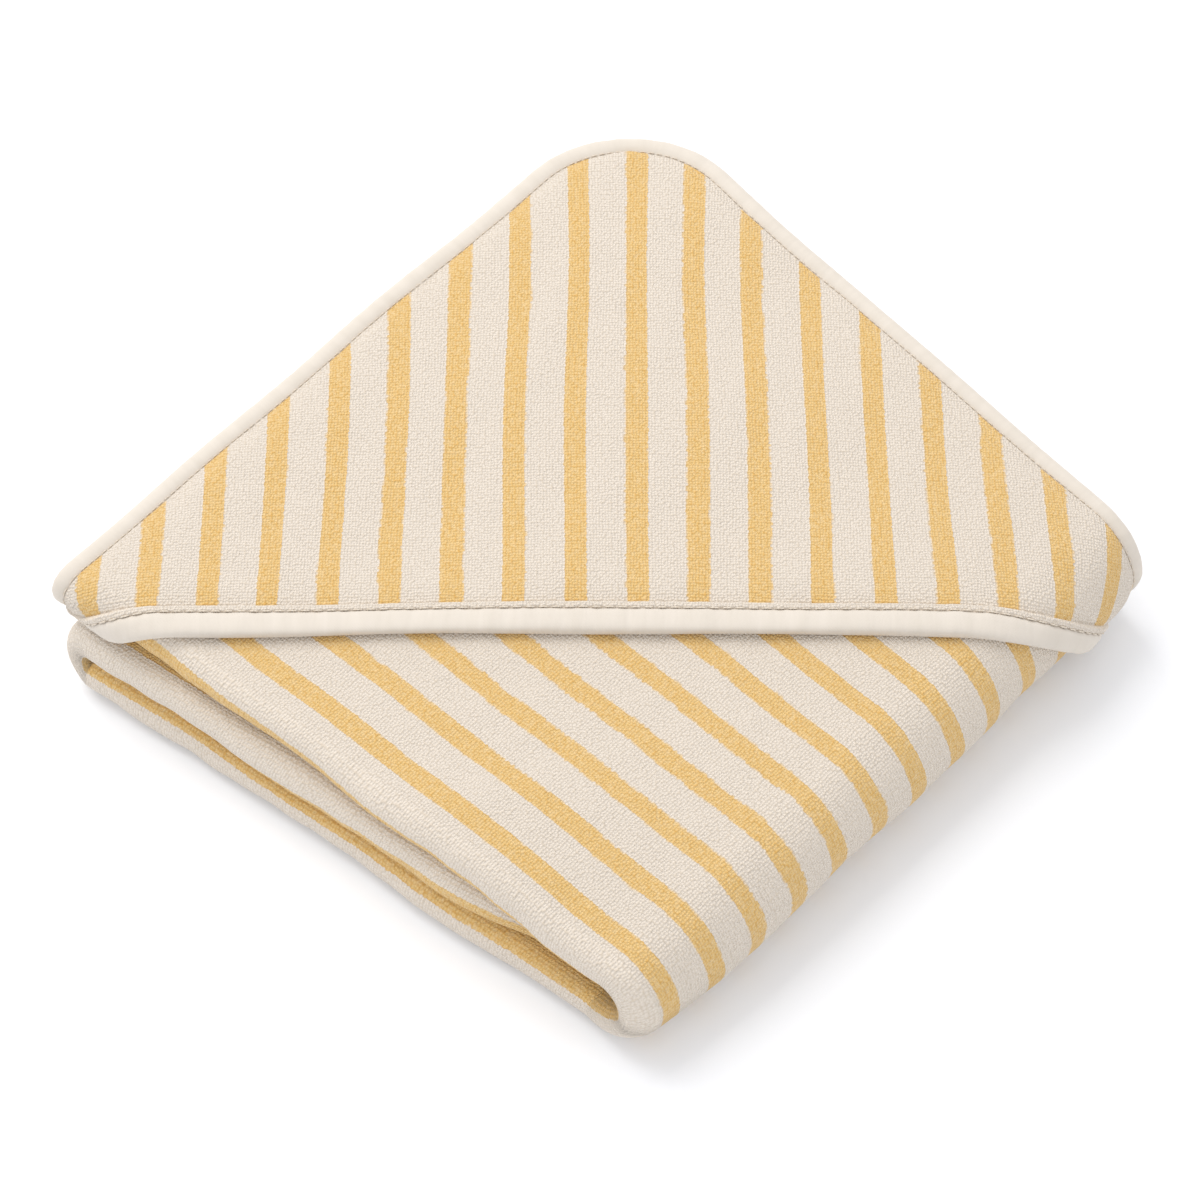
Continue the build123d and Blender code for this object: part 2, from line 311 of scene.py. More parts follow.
def fold(a, b, h, lift=0.0):
    """Place of cloth at strip length a, at distance b from the back edge, and h off its middle.

    Cloth with a lift, such as the hood, lies that far off the top run's outer layer."""
    front = front_line(a)
    y, t = fold_section(front, b, h, lift)
    x, z = coil_strip(a, t, lift)
    under = np.where((lift > 0) | ((a < SPINE_X) & (b < HALF_Y)), 0, 1)
    x, y, z = settle(x, y, z, under)
    return np.stack([x, y, z], axis=-1)


# Pattern of the cloth

STRIPE_SLOPE = 0.05      # the stripes' slant where y is 0
STRIPE_FAN = -0.0004     # share by which the stripes come closer for each millimetre along
STRIPE_START = -37.8     # y of one stripe's centre at x = 0
BOTTOM_DRIFT = 1.7       # the bottom run's stripes lie this much further round their roll
MIDDLE_DRIFT = 1.1       # the same for the middle run at its left end
MIDDLE_RETURN = 5.5      # the middle run's stripes come back by this towards the spine


def stripe_place(a, b):
    """Distance across the stripes, in millimetres, of cloth at (a, b)."""
    front_shift = front_line(a) - FRONT_AT_SPINE - TOP_STEP
    y = HALF_Y - b - np.where(a > SPINE_X, front_shift, 0)
    down = smooth((a - SPINE_X) / (SPINE_END - SPINE_X))
    up = smooth((a - BOTTOM_END) / (LEFT_END - BOTTOM_END))
    towards_spine = smooth((a - LEFT_END) / (STRIP_END - LEFT_END))
    y = y + BOTTOM_DRIFT * (down - up) + (MIDDLE_DRIFT - MIDDLE_RETURN * towards_spine) * up
    along = np.minimum(a, SPINE_X)
    return (y - STRIPE_SLOPE * along) / (1 + STRIPE_FAN * along)


# Meshes

def new_object(name, points, faces, cloth, material, sharp=()):
    """Object from points in millimetres, with the cloth coordinates that its material reads."""
    mesh = bpy.data.meshes.new(name)
    mesh.from_pydata((points / MM).tolist(), [], faces)
    mesh.validate()
    mesh.shade_smooth()
    mesh.attributes.new("cloth", "FLOAT_VECTOR", "POINT").data.foreach_set(
        "vector", cloth.astype(np.float32).ravel()
    )
    if len(sharp):
        border = set(sharp)
        edges = mesh.attributes.new("sharp_edge", "BOOLEAN", "EDGE")
        for edge in mesh.edges:
            low, high = sorted(edge.vertices)
            edges.data[edge.index].value = (low, high) in border
    mesh.update()
    piece = bpy.data.objects.new(name, mesh)
    bpy.context.scene.collection.objects.link(piece)
    mesh.materials.append(material)
    return piece


def grid_faces(rows, columns, start, flip):
    """Quads of a grid of points whose first index is start."""
    faces = []
    for i in range(rows - 1):
        for j in range(columns - 1):
            corner = start + i * columns + j
            quad = (corner, corner + columns, corner + columns + 1, corner + 1)
            faces.append(quad[::-1] if flip else quad)
    return faces


def cloth_shell(name, top, bottom, cloth, material):
    """Closed cloth between two grids of points, with sharp borders that meet the next piece."""
    rows, columns = top.shape[:2]
    count = rows * columns
    faces = grid_faces(rows, columns, 0, False) + grid_faces(rows, columns, count, True)
    ring = [(0, j) for j in range(columns - 1)] + [(i, columns - 1) for i in range(rows - 1)]
    ring += [(rows - 1, j) for j in range(columns - 1, 0, -1)] + [(i, 0) for i in range(rows - 1, 0, -1)]
    indices = [i * columns + j for i, j in ring]
    sharp = []
    for here, there in zip(indices, indices[1:] + indices[:1]):
        faces.append((here, there, there + count, here + count))
        sharp.append(tuple(sorted((here, there))))
        sharp.append(tuple(sorted((here + count, there + count))))
    points = np.concatenate([top.reshape(-1, 3), bottom.reshape(-1, 3)])
    return new_object(name, points, faces, np.concatenate([cloth.reshape(-1, 3)] * 2), material, sharp)


def ribbon(name, rings, cloth, material):
    """Closed tape from rings of points, each ring one cross-section."""
    count, around = rings.shape[:2]
    faces = []
    for i in range(count - 1):
        for j in range(around):
            k = (j + 1) % around
            here = i * around
            there = here + around
            faces.append((here + j, here + k, there + k, there + j))
    faces.append(tuple(range(around))[::-1])
    faces.append(tuple(range((count - 1) * around, count * around)))
    sharp = []
    for first in (0, (count - 1) * around):
        sharp += [(first + j, first + j + 1) for j in range(around - 1)] + [(first, first + around - 1)]
    return new_object(name, rings.reshape(-1, 3), faces, cloth.reshape(-1, 3), material, sharp)


def tape_profile(width, thickness, groove_at=None, groove=0.0, points=22):
    """Cross-section of a folded tape as (across, height) offsets, softly rounded at both sides."""
    angle = np.arange(points) / points * 2 * pi
    across = width / 2 * np.sign(np.cos(angle)) * np.abs(np.cos(angle)) ** 0.7
    height = thickness / 2 * np.sign(np.sin(angle)) * np.abs(np.sin(angle)) ** 0.7
    if groove_at is not None:
        dip = groove * np.exp(-(((across - groove_at) / 0.9) ** 2))
        height = height - np.where(height > 0, dip, 0)
    return across, height


# Materials

def node(tree, kind, settings=None, **inputs):
    """Add a node, set its properties, and set or link its inputs by name or number."""
    added = tree.nodes.new(kind)
    for key, value in (settings or {}).items():
        setattr(added, key, value)
    for key, value in inputs.items():
        socket = added.inputs[int(key[1:]) if key[1:].isdigit() else key.replace("_", " ")]
        if isinstance(value, bpy.types.NodeSocket):
            tree.links.new(value, socket)
        else:
            socket.default_value = value
    return added.outputs


def new_material(name):
    """Empty node material with its tree."""
    material = bpy.data.materials.new(name)
    material.use_nodes = True
    material.node_tree.nodes.clear()
    return material, material.node_tree


def striped_terry(sizes, colours):
    """Looped cotton terry: uncut loops of soft yarn, dull, and painted darker between the loops as shade.

    The stripes are woven in, so each loop is wholly one colour and a stripe's edge is ragged."""
    material, tree = new_material("looped cotton terry, yarn-dyed stripe")
    loop = MM * sizes.loop
    pitch = MM * sizes.pitch
    cloth = node(tree, "ShaderNodeAttribute", {"attribute_name": "cloth"})["Vector"]
    place = node(tree, "ShaderNodeSeparateXYZ", Vector=cloth)
    flat = node(tree, "ShaderNodeCombineXYZ", X=place["X"], Y=place["Y"])["Vector"]
    # Loops stand about a millimetre apart, in rows that follow the stripes
    loops = node(
        tree, "ShaderNodeTexVoronoi", {"voronoi_dimensions": "2D", "feature": "F1"},
        Vector=flat, Scale=1 / loop, Randomness=0.5,
    )
    centre = node(tree, "ShaderNodeSeparateXYZ", Vector=loops["Position"])["Y"]
    to_loop = node(tree, "ShaderNodeMath", {"operation": "SUBTRACT"}, _0=centre, _1=place["Y"])[0]
    wander = node(tree, "ShaderNodeTexNoise", Vector=flat, Scale=0.09, Detail=2.0)["Fac"]
    to_loop = node(
        tree, "ShaderNodeMath", {"operation": "MULTIPLY_ADD"}, _0=to_loop, _1=0.7 / pitch, _2=place["Z"]
    )[0]
    phase = node(
        tree, "ShaderNodeMath", {"operation": "MULTIPLY_ADD"}, _0=wander, _1=0.05, _2=to_loop
    )[0]
    off_centre = node(tree, "ShaderNodeMath", {"operation": "PINGPONG"}, _0=phase, _1=0.5)[0]
    half = sizes.stripe / sizes.pitch / 2
    striped = node(
        tree, "ShaderNodeMapRange", {"interpolation_type": "SMOOTHSTEP"},
        Value=off_centre, From_Min=half - 0.012, From_Max=half + 0.012, To_Min=1.0, To_Max=0.0,
    )[0]
    fuzz = node(tree, "ShaderNodeTexNoise", Vector=flat, Scale=2.6 / loop, Detail=2.0)["Fac"]
    crest = node(
        tree, "ShaderNodeMapRange",
        Value=loops["Distance"], From_Min=0.0, From_Max=0.75, To_Min=1.0, To_Max=0.0,
    )[0]
    crest = node(tree, "ShaderNodeMath", {"operation": "MULTIPLY_ADD"}, _0=fuzz, _1=0.45, _2=crest)[0]
    # Painted shade: the colour darkens towards the bottoms of the loops, where shade falls between them
    loop_shade = node(tree, "ShaderNodeMapRange", Value=crest, From_Min=0.15, From_Max=0.95)[0]
    cream = node(
        tree, "ShaderNodeMix", {"data_type": "RGBA"}, _0=loop_shade, _6=colours.cream_in_shade[:], _7=colours.cream[:]
    )[2]
    yellow = node(
        tree, "ShaderNodeMix", {"data_type": "RGBA"}, _0=loop_shade, _6=colours.yellow_in_shade[:], _7=colours.yellow[:]
    )[2]
    # Yellow yarn takes the dye unevenly, which shows as pale flecks a few loops long
    fleck = node(tree, "ShaderNodeTexNoise", Vector=flat, Scale=0.55, Detail=3.0, Roughness=0.6)["Fac"]
    fleck = node(tree, "ShaderNodeMapRange", Value=fleck, From_Min=0.45, From_Max=0.75, To_Max=0.4)[0]
    yellow = node(
        tree, "ShaderNodeMix", {"data_type": "RGBA"}, _0=fleck, _6=yellow, _7=colours.yellow_pale[:]
    )[2]
    colour = node(tree, "ShaderNodeMix", {"data_type": "RGBA"}, _0=striped, _6=cream, _7=yellow)[2]
    bump = node(
        tree, "ShaderNodeBump", Strength=1.0, Distance=sizes.pile, Height=crest
    )["Normal"]
    shader = node(
        tree, "ShaderNodeBsdfPrincipled", Base_Color=colour, Roughness=0.95, IOR=1.53, Normal=bump,
    )
    dull_cotton(shader[0].node, 0.25, 0.2)
    node(tree, "ShaderNodeOutputMaterial", Surface=shader["BSDF"])
    return material


def dull_cotton(shader, specular, sheen):
    """Cotton's weak gloss and the pale sheen of its fibre ends, set on the shader itself."""
    shader.inputs["Specular IOR Level"].default_value = specular
    shader.inputs["Sheen Weight"].default_value = sheen
    shader.inputs["Sheen Roughness"].default_value = 0.55


def bias_tape(colours):
    """Cotton bias tape: fine plain weave, smooth beside the terry, lightly puckered by its seam."""
    material, tree = new_material("cotton bias tape, plain weave")
    cloth = node(tree, "ShaderNodeAttribute", {"attribute_name": "cloth"})["Vector"]
    # Threads are 0.3 mm apart, drawn at twice that so that they show
    turned = node(tree, "ShaderNodeMapping", Vector=cloth, Rotation=(0, 0, radians(45)))["Vector"]
    warp, weft = (
        node(
            tree, "ShaderNodeTexWave", {"bands_direction": way}, Vector=turned, Scale=0.52, Distortion=1.0
        )["Fac"]
        for way in "XY"
    )
    weave = node(tree, "ShaderNodeMath", {"operation": "MULTIPLY"}, _0=warp, _1=weft)[0]
    pucker = node(tree, "ShaderNodeMapping", Vector=cloth, Scale=(0.32, 0.07, 0.07))["Vector"]
    pucker = node(tree, "ShaderNodeTexNoise", Vector=pucker, Scale=1.0, Detail=2.0)["Fac"]
    shade = node(tree, "ShaderNodeMapRange", Value=pucker, From_Min=0.3, From_Max=0.7, To_Max=0.6)[0]
    colour = node(
        tree, "ShaderNodeMix", {"data_type": "RGBA"}, _0=shade, _6=colours.tape[:], _7=colours.tape_low[:]
    )[2]
    fine = node(tree, "ShaderNodeBump", Strength=0.35, Distance=0.1 / MM, Height=weave)["Normal"]
    bump = node(tree, "ShaderNodeBump", Strength=0.6, Distance=0.5 / MM, Height=pucker, Normal=fine)["Normal"]
    shader = node(tree, "ShaderNodeBsdfPrincipled", Base_Color=colour, Roughness=0.82, IOR=1.53, Normal=bump)
    dull_cotton(shader[0].node, 0.3, 0.12)
    node(tree, "ShaderNodeOutputMaterial", Surface=shader["BSDF"])
    return material


def spun_thread(colours):
    """Spun sewing thread: two plies twisted together, slightly glossier than the tape."""
    material, tree = new_material("spun sewing thread, two-ply")
    cloth = node(tree, "ShaderNodeAttribute", {"attribute_name": "cloth"})["Vector"]
    twist = node(
        tree, "ShaderNodeTexWave", {"bands_direction": "DIAGONAL"}, Vector=cloth, Scale=0.5, Distortion=0.5
    )["Fac"]
    # Painted shade: the thread is darker in the grooves between its twisted plies
    colour = node(
        tree, "ShaderNodeMix", {"data_type": "RGBA"}, _0=twist, _6=colours.thread_in_shade[:], _7=colours.thread[:]
    )[2]
    bump = node(tree, "ShaderNodeBump", Strength=0.6, Distance=0.1 / MM, Height=twist)["Normal"]
    shader = node(tree, "ShaderNodeBsdfPrincipled", Base_Color=colour, Roughness=0.7, IOR=1.53, Normal=bump)
    dull_cotton(shader[0].node, 0.35, 0.1)
    node(tree, "ShaderNodeOutputMaterial", Surface=shader["BSDF"])
    return material


def paper_sweep(colours):
    """Matt white studio paper: no gloss, with a grain too faint to draw the eye."""
    material, tree = new_material("matt white studio paper")
    place = node(tree, "ShaderNodeTexCoord")["Object"]
    grain = node(tree, "ShaderNodeTexNoise", Vector=place, Scale=900.0, Detail=2.0)["Fac"]
    bump = node(tree, "ShaderNodeBump", Strength=0.05, Distance=0.0001, Height=grain)["Normal"]
    shader = node(
        tree, "ShaderNodeBsdfPrincipled", Base_Color=colours.paper[:], Roughness=1.0, Normal=bump
    )
    shader[0].node.inputs["Specular IOR Level"].default_value = 0.0
    node(tree, "ShaderNodeOutputMaterial", Surface=shader["BSDF"])
    return material


def finish_named(maker, *settings):
    """The material that a maker makes, made once and kept for later pieces."""
    made = bpy.context.scene.get(maker.__name__)
    if made is None:
        made = maker(*settings)
        bpy.context.scene[maker.__name__] = made
    return made


# Settings

def size_prop(name, description, millimetres):
    """A length, from its default in millimetres."""
    return bpy.props.FloatProperty(
        name=name, description=description, default=millimetres / MM, min=0.05 / MM,
        precision=5, unit="LENGTH",
    )


def colour_prop(name, description, hex_colour):
    """A colour, from its sRGB hex value."""
    return bpy.props.FloatVectorProperty(
        name=name, description=description, default=linear(hex_colour), size=4, subtype="COLOR", min=0, max=1
    )


class TowelSizes(bpy.types.PropertyGroup):
    pitch: size_prop("Stripe pitch", "Distance from stripe to stripe", 17.95)
    stripe: size_prop("Stripe width", "Width of one stripe", 6.6)
    loop: size_prop("Loop", "Distance between terry loops", 0.95)
    pile: size_prop("Pile", "Height of the loops that shows", 0.5)
    stitch: size_prop("Edge stitch", "Length of one stitch of the edge seam", 2.6)
    rim_stitch: size_prop("Rim stitch", "Length of one stitch of the rim seam", 4.0)
    thread: size_prop("Thread", "Thickness of the sewing thread", 0.42)


class TowelColours(bpy.types.PropertyGroup):
    cream: colour_prop("Cream", "Undyed cotton at the tops of the loops", "#E8DDCF")
    # Painted shade: the cream as it looks in the shade between the loops
    cream_in_shade: colour_prop("Cream, deep", "Undyed cotton between the loops", "#D5C7B4")
    yellow: colour_prop("Yellow", "Dyed cotton at the tops of the loops", "#E7C483")
    # Painted shade: the yellow as it looks in the shade between the loops
    yellow_in_shade: colour_prop("Yellow, deep", "Dyed cotton between the loops", "#D6A656")
    yellow_pale: colour_prop("Yellow, pale", "Flecks where the dye took less", "#F3DCB2")
    tape: colour_prop("Tape", "Cotton binding", "#DAD1C5")
    tape_low: colour_prop("Tape, shaded", "Cotton binding in its puckers", "#D2C9BC")
    thread: colour_prop("Thread", "Sewing thread", "#E2D7C8")
    # Painted shade: the thread as it looks in the shade between its plies
    thread_in_shade: colour_prop("Thread, deep", "Sewing thread between its plies", "#D2C5B2")
    paper: colour_prop("Paper", "Studio floor", "#F7F8FA")


# Pieces

REGIONS = {
    "top": (-HALF_X + TAPE - TUCK, SPINE_X, 3.0),
    "spine": (SPINE_X, SPINE_END, 2.2),
    "bottom": (SPINE_END, BOTTOM_END, 3.0),
    "left_turn": (BOTTOM_END, LEFT_END, 2.2),
    "middle": (LEFT_END, STRIP_END + TUCK, 3.0),
}


def follow(piece, region):
    """Attach a piece of the sheet to the body that its region moves with; a spine piece is baked in place
    instead.
    """
    if region == "spine":
        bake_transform(piece)
    else:
        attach(piece, "upper_half" if region == "top" else "lower_half")


def follow_hood(piece):
    """Bake a piece of the hood in place."""
    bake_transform(piece)


def steps(low, high, size):
    """Evenly spaced values from low to high, at most size apart."""
    return np.linspace(low, high, max(2, int(np.ceil((high - low) / size)) + 1))


def corner_map(a, y):
    """Move flat points near the back left corner so that the cloth ends in its rounded corner."""
    reach = CORNER_R - TAPE + TUCK
    centre_a = -HALF_X + CORNER_R
    centre_y = HALF_Y - CORNER_R
    over_a = np.maximum(centre_a - a, 0)
    over_y = np.maximum(y - centre_y, 0)
    longer = np.maximum(over_a, over_y)
    across = np.maximum(np.hypot(over_a, over_y), 1e-6)
    inside = over_a * over_y > 0
    share = np.where(inside, 1 - (1 - longer / across) * np.clip(longer / reach, 0, 1), 1)
    return centre_a - (centre_a - a) * share, np.where(inside, centre_y + over_y * share, y)


def terry_region(region, material):
    """One region of the terry sheet, through all its folded layers, sunk where the binding grips it."""
    low, high, step = REGIONS[region]
    along = steps(low, high, step)
    lines = []
    for a in along:
        marks = section_marks(float(front_line(np.float64(a))))
        starts = (TAPE - TUCK,) + marks[:-1]
        # Points on the outer layer, the front roll, the tucked layer, the back roll and the inner layer
        counts = (80, 18, 40, 8, 40)
        parts = [
            np.linspace(start, end, count, endpoint=False)
            for start, end, count in zip(starts, marks, counts)
        ]
        lines.append(np.concatenate(parts + [[marks[-1]]]))
    b = np.array(lines)
    a = np.broadcast_to(along[:, None], b.shape)
    if region == "top":
        on_top = b < HALF_Y
        rounded_a, rounded_y = corner_map(a, HALF_Y - b)
        a = np.where(on_top, rounded_a, a)
        b = np.where(on_top, HALF_Y - rounded_y, b)
    far = 99
    edge = np.minimum(np.where(a < 0, a + HALF_X - TAPE, far), b - TAPE)
    relief = 0.22 * waves(a, b, (26, 15), 11) - 0.9 * np.exp(-np.clip(edge, 0, far) / 2.2)
    top = fold(a, b, LAYER / 2 + relief)
    bottom = fold(a, b, np.full_like(b, -LAYER / 2))
    across = stripe_place(a, b)
    phase = (across - STRIPE_START) / (MM * bpy.context.scene.towel_sizes.pitch)
    cloth = np.stack([a, across, phase], axis=-1)
    return cloth_shell(f"terry_{region}", top, bottom, cloth, material)


class TOWEL_OT_terry(bpy.types.Operator):
    """Build the folded terry sheet, region by region along the strip"""

    bl_idname = "towel.terry"
    bl_label = "Terry Sheet"

    def execute(self, context):
        scene = context.scene
        material = finish_named(striped_terry, scene.towel_sizes, scene.towel_colours)
        nodes = {
            "top": ["top_terry"],
            "spine": ["spine_terry_lower", "spine_terry_upper"],
            "bottom": ["bottom_terry"],
            "left_turn": ["left_turn_terry"],
            "middle": ["middle_terry"],
        }
        for region, (low, high, _) in REGIONS.items():
            piece = terry_region(region, material)
            follow(piece, region)
            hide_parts(*nodes[region])
        return {"FINISHED"}


# Hood in the flat, in its own p and q

CORNER_P = (-HALF_X + TAPE - HALF_Y + TAPE) / sqrt(2)
CORNER_Q = (-HALF_X + TAPE + HALF_Y - TAPE) / sqrt(2)
ARC_P = (-HALF_X + CORNER_R - HALF_Y + CORNER_R) / sqrt(2)
RIM_P = HOOD_RIM / sqrt(2)
HOOD_STRIPE_Q = -6.9    # q of one stripe's centre
HOOD_PITCH = 18.8
SPINE_TIP = (45.0, 11.0)  # hood that bends freely round the spine, and the most that follows
FRONT_TIP = (14.0, 6.0)   # the same round the front roll


def hood_half_width(p):
    """Half of the hood's width at p, up to the edge binding and a little under it."""
    radius = CORNER_R - TAPE + TUCK
    tangent = ARC_P - radius / sqrt(2)
    arc = np.sqrt(np.maximum(radius**2 - (p - ARC_P) ** 2, 0))
    return np.where(p < tangent, arc, p - CORNER_P + TUCK * sqrt(2))


def limit(over, free, extra):
    """A length past a bend: kept up to free, then growing by no more than extra."""
    return np.where(over < free, over, free + extra * (1 - np.exp(-np.maximum(over - free, 0) / extra)))


def hood_fold(p, q, h):
    """Place of the hood's cloth at (p, q), and h off its middle.

    Its two tips bend over the spine and the front roll, but not all the way round them."""
    a = SPINE_X + limit((p + q) / sqrt(2) - SPINE_X, *SPINE_TIP)
    front = front_line(a)
    y = front - limit(front - (q - p) / sqrt(2), *FRONT_TIP)
    return fold(a, HALF_Y - y, h, HOOD_LIFT)


def hood_half(side, material):
    """Half of the hood panel, from its long axis to one leg."""
    radius = CORNER_R - TAPE + TUCK
    rows = steps(ARC_P - radius + 0.3, RIM_P + 0.8, 2.5)
    share = np.linspace(0, 1, 72)
    p = np.broadcast_to(rows[:, None], (len(rows), len(share)))
    width = hood_half_width(p)
    sign = -1 if side == "left" else 1
    q = CORNER_Q + sign * width * share
    if sign < 0:
        p = p[:, ::-1]
        q = q[:, ::-1]
        width = width[:, ::-1]
    from_leg = (width - np.abs(q - CORNER_Q)) / sqrt(2) - TUCK
    edge = np.minimum(from_leg, RIM_P - p)
    relief = 0.25 * waves(p, q, (30, 17), 21) - 1.3 * np.exp(-np.clip(edge, 0, None) / 2.4)
    top = hood_fold(p, q, HOOD_LAYER / 2 + relief)
    bottom = hood_fold(p, q, np.full_like(q, -HOOD_LAYER / 2))
    cloth = np.stack([p, q, (q - HOOD_STRIPE_Q) / HOOD_PITCH], axis=-1)
    return cloth_shell(f"hood_panel_{side}", bottom, top, cloth, material)


class TOWEL_OT_hood(bpy.types.Operator):
    """Build the hood panel in two halves that meet on its long axis"""

    bl_idname = "towel.hood"
    bl_label = "Hood Panel"

    def execute(self, context):
        scene = context.scene
        material = finish_named(striped_terry, scene.towel_sizes, scene.towel_colours)
        for side in ("left", "right"):
            piece = hood_half(side, material)
            follow_hood(piece)
            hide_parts("hood_panel", f"hood_{side}_tip")
        return {"FINISHED"}


# Binding: its centre line in the flat cloth, with the direction out of the cloth

def path_rows(path, profile, height, lift, pucker):
    """Rings of a tape along a path of flat points (a, y), with the share by which each ring is thicker,
    and how far it is lifted and puckered."""
    across, up = profile
    a = path["a"][:, None] + path["side_a"][:, None] * across
    y = path["y"][:, None] + path["side_y"][:, None] * across
    h = up * height[:, None] + lift[:, None] + pucker[:, None] * (up > 0)
    rings = fold(a, HALF_Y - y, h)
    reach = np.concatenate([[0], np.cumsum(np.hypot(np.diff(path["a"]), np.diff(path["y"])))])
    length = np.broadcast_to(reach[:, None], h.shape)
    return rings, np.stack([length, np.broadcast_to(across, h.shape), h], axis=-1)


def edge_path(region):
    """Centre line of the edge binding in one region: the top run's also takes its left side."""
    middle = TAPE / 2
    if region == "top":
        _, _, _, _, hem = section_marks(float(front_line(np.float64(-HALF_X + middle))))
        down = steps(HALF_Y - hem, HALF_Y - CORNER_R, 1.6)
        turn = np.linspace(pi, pi / 2, 30)[1:-1]
        along = steps(-HALF_X + CORNER_R, SPINE_X, 2.2)
        radius = CORNER_R - middle
        turn_a = -HALF_X + CORNER_R + radius * np.cos(turn)
        turn_y = HALF_Y - CORNER_R + radius * np.sin(turn)
        a = np.concatenate([np.full(len(down), -HALF_X + middle), turn_a, along])
        y = np.concatenate([down, turn_y, np.full(len(along), HALF_Y - middle)])
        side_a = np.concatenate([np.full(len(down), -1.0), np.cos(turn), np.zeros(len(along))])
        side_y = np.concatenate([np.zeros(len(down)), np.sin(turn), np.ones(len(along))])
    else:
        low, high, step = REGIONS[region]
        a = steps(low, high, step)
        y = np.full(len(a), HALF_Y - middle)
        side_a = np.zeros(len(a))
        side_y = np.ones(len(a))
    return {"a": a, "y": y, "side_a": side_a, "side_y": side_y}


def hood_cover(a, y):
    """Share by which the edge binding also covers the hood: 1 on top, 0 past the hood's tips."""
    round_spine = (a - SPINE_X) / SPINE_MID
    round_front = (front_line(a) - y) / ROLL_MID
    return (1 - smooth((round_spine - 2.15) / 0.35)) * (1 - smooth((round_front - 1.95) / 0.35))


def edge_tape(region, material):
    """Edge binding of one region."""
    path = edge_path(region)
    cover = hood_cover(path["a"], path["y"])
    height = 1 + cover * COVER_THICKER
    lift = cover * (HOOD_REST + HOOD_LAYER) * COVER_RISE
    pucker = 0.14 * waves(path["a"], path["y"], (7, 4.5), 31)
    profile = tape_profile(TAPE, LAYER, -TAPE / 2 + SEAM_IN, SEAM_GROOVE)
    rings, cloth = path_rows(path, profile, height, lift, pucker)
    return ribbon(f"edge_tape_{region}", rings, cloth, material)


def hem_tape(region, material):
    """The same binding along the hem that is tucked inside the strip."""
    low, high, step = REGIONS[region]
    a = steps(low, high, step)
    *_, hem = section_marks(front_line(a))
    path = {"a": a, "y": HALF_Y - hem - TAPE / 2 - GAP / 2, "side_a": 0 * a, "side_y": 0 * a - 1}
    rings, cloth = path_rows(path, tape_profile(TAPE, LAYER), 1 + 0 * a, 0 * a, 0 * a)
    return ribbon(f"hem_tape_{region}", rings, cloth, material)


def end_tape(material):
    """The same binding along the strip's far end, inside the spine."""
    place = STRIP_END + TAPE / 2
    *_, hem = section_marks(float(front_line(np.float64(place))))
    y = steps(HALF_Y - hem - TAPE, HALF_Y, 2.0)
    a = np.full(len(y), place)
    path = {"a": a, "y": y, "side_a": 0 * a + 1, "side_y": 0 * a}
    rings, cloth = path_rows(path, tape_profile(TAPE, LAYER), 1 + 0 * a, 0 * a, 0 * a)
    return ribbon("end_tape", rings, cloth, material)


class TOWEL_OT_edge_binding(bpy.types.Operator):
    """Build the cotton binding round the sheet and over the hood's two legs"""

    bl_idname = "towel.edge_binding"
    bl_label = "Edge Binding"

    def execute(self, context):
        scene = context.scene
        material = finish_named(bias_tape, scene.towel_colours)
        edges = {
            "top": ["top_edge_binding", "top_left_binding"],
            "spine": ["spine_back_binding_lower", "spine_back_binding_upper"],
            "bottom": ["bottom_back_binding"],
            "left_turn": ["left_turn_back_binding"],
            "middle": ["middle_back_binding"],
        }
        hems = {"top": "top_hem_binding", "bottom": "bottom_hem_binding", "middle": "middle_hem_binding"}
        for region, nodes in edges.items():
            tape = edge_tape(region, material)
            follow(tape, region)
            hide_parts(*nodes)
            hem = hem_tape(region, material)
            follow(hem, region)
            if region in hems:
                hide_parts(hems[region])
        last = end_tape(material)
        follow(last, "middle")
        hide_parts("middle_end_binding")
        return {"FINISHED"}


# Rim of the hood

def rim_band(name, side, start, width, thickness, material, phase=None):
    """Half of a band along the hood's rim, from its long axis out to one side."""
    middle = RIM_P + start + width / 2
    sign = -1 if side == "left" else 1
    q = CORNER_Q + sign * steps(0, middle - CORNER_P + 1.5, 2.0)
    across, up = tape_profile(width, thickness, points=26)
    p = middle + across[None, :] + 0 * q[:, None]
    pucker = 0.16 * waves(q, 0 * q, (9, 5), 41)[:, None] * (up > 0)
    h = up + pucker + 0.1
    rings = hood_fold(p, q[:, None] + 0 * p, h)
    if side == "right":
        rings = rings[:, ::-1]
        p = p[:, ::-1]
        h = h[:, ::-1]
    last = h if phase is None else 0 * h + phase
    cloth = np.stack([q[:, None] + 0 * p, p, last], axis=-1)
    return ribbon(f"{name}_{side}", rings, cloth, material)


class TOWEL_OT_rim_binding(bpy.types.Operator):
    """Build the cotton binding over the hood's open rim"""

    bl_idname = "towel.rim_binding"
    bl_label = "Hood Rim Binding"

    def execute(self, context):
        scene = context.scene
        tape = finish_named(bias_tape, scene.towel_colours)
        terry = finish_named(striped_terry, scene.towel_sizes, scene.towel_colours)
        for side in ("left", "right"):
            piece = rim_band("rim_tape", side, RIM_RIDGE - 0.25, RIM_TAPE, HOOD_LAYER + 0.9, tape)
            follow_hood(piece)
            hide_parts("hood_rim_binding")
            # Between stripes, where the phase is a half, the ridge is all cream
            ridge = rim_band("rim_ridge", side, -0.2, RIM_RIDGE + 0.2, HOOD_LAYER + 0.3, terry, 0.5)
            follow_hood(ridge)
        return {"FINISHED"}


# Seams

